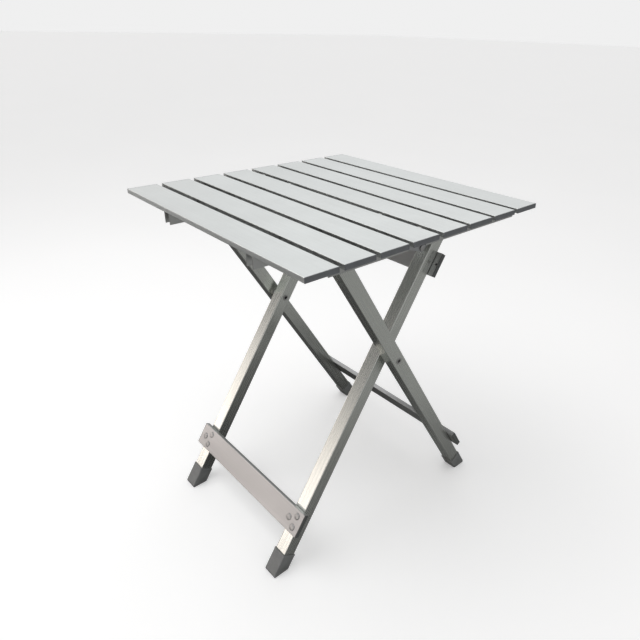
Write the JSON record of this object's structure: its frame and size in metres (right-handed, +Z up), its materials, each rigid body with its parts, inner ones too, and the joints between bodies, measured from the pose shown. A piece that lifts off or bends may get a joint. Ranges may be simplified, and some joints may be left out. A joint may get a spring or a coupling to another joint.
{
  "type": "folding side table",
  "caption": "Low square table with a slatted metal top in two hinged halves, on crossed square-tube legs that fold flat together.",
  "frame": {"origin": "middle of the footprint on the floor, table open", "axes": "+X along the slats to the right, +Y to the back, +Z up; the leg frame with the low front plate has its feet at -Y"},
  "size_m": [0.5, 0.5084, 0.602],
  "materials": {
    "slat_metal": "satin anodised, silver",
    "bar_metal": "satin anodised, silver",
    "tube_metal": "satin anodised, silver",
    "rail_metal": "mill finish",
    "hinge_steel": "zinc plated",
    "rivet_metal": "bright",
    "slat_plug_plastic": "matt, blue grey",
    "frame_plug_plastic": "matt, grey",
    "foot_plastic": "matt, grey, slightly soft",
    "washer_plastic": "smooth, natural"
  },
  "bodies": {
    "back_half": {"back_hinge_plates": "hinge_steel", "back_hinge_rivets": "rivet_metal", "back_inner_rail_left": "rail_metal", "back_inner_rail_right": "rail_metal", "back_outer_rail_left": "rail_metal", "back_outer_rail_right": "rail_metal", "back_pivot_studs": "rivet_metal", "back_slat_end_plugs": "slat_plug_plastic", "back_slat_rivets": "rivet_metal", "middle_gap_stops": "washer_plastic", "middle_hinge_pins": "rivet_metal", "slat_5": "slat_metal", "slat_6": "slat_metal", "slat_7": "slat_metal", "slat_8": "slat_metal"},
    "outer_legs": {"cross_pivot_pins": "rivet_metal", "cross_pivot_spacers": "washer_plastic", "outer_foot_cap_left": "foot_plastic", "outer_foot_cap_right": "foot_plastic", "outer_leg_left": "tube_metal", "outer_leg_right": "tube_metal", "outer_leg_top_plugs": "frame_plug_plastic", "rear_bar": "bar_metal", "rear_bar_end_plugs": "frame_plug_plastic", "rear_bar_rivets": "rivet_metal"},
    "front_half": {"front_hinge_plates": "hinge_steel", "front_hinge_rivets": "rivet_metal", "front_inner_rail_left": "rail_metal", "front_inner_rail_right": "rail_metal", "front_outer_rail_left": "rail_metal", "front_outer_rail_right": "rail_metal", "front_pivot_pins": "rivet_metal", "front_pivot_washers": "washer_plastic", "front_slat_end_plugs": "slat_plug_plastic", "front_slat_rivets": "rivet_metal", "slat_1": "slat_metal", "slat_2": "slat_metal", "slat_3": "slat_metal", "slat_4": "slat_metal"},
    "inner_legs": {"front_plate": "bar_metal", "front_plate_end_plugs": "frame_plug_plastic", "front_plate_rivets": "rivet_metal", "inner_foot_cap_left": "foot_plastic", "inner_foot_cap_right": "foot_plastic", "inner_leg_left": "tube_metal", "inner_leg_pivot_sleeves": "rivet_metal", "inner_leg_right": "tube_metal", "inner_leg_top_plugs": "frame_plug_plastic", "top_bar": "bar_metal", "top_bar_end_plugs": "frame_plug_plastic", "top_bar_rivets": "rivet_metal"}
  },
  "joints": [
    {"name": "leg_fold", "type": "hinge", "parent": "outer_legs", "child": "inner_legs", "pos_m": [0, -0.00276, 0.361], "axis": [1, 0, 0], "range_deg": [0, 56]},
    {"name": "front_half_pivot", "type": "hinge", "parent": "outer_legs", "child": "front_half", "pos_m": [0, -0.13709, 0.5785], "axis": [1, 0, 0], "range_deg": [0, 111.1]},
    {"name": "middle_hinge", "type": "hinge", "parent": "front_half", "child": "back_half", "pos_m": [0, 0.00474, 0.5695], "axis": [1, 0, 0], "range_deg": [-170.7, 0]}
  ],
  "couplings": [
    {"joint": "front_half_pivot", "follows": "leg_fold", "ratio": 1.982},
    {"joint": "middle_hinge", "follows": "leg_fold", "ratio": -3.0456}
  ]
}
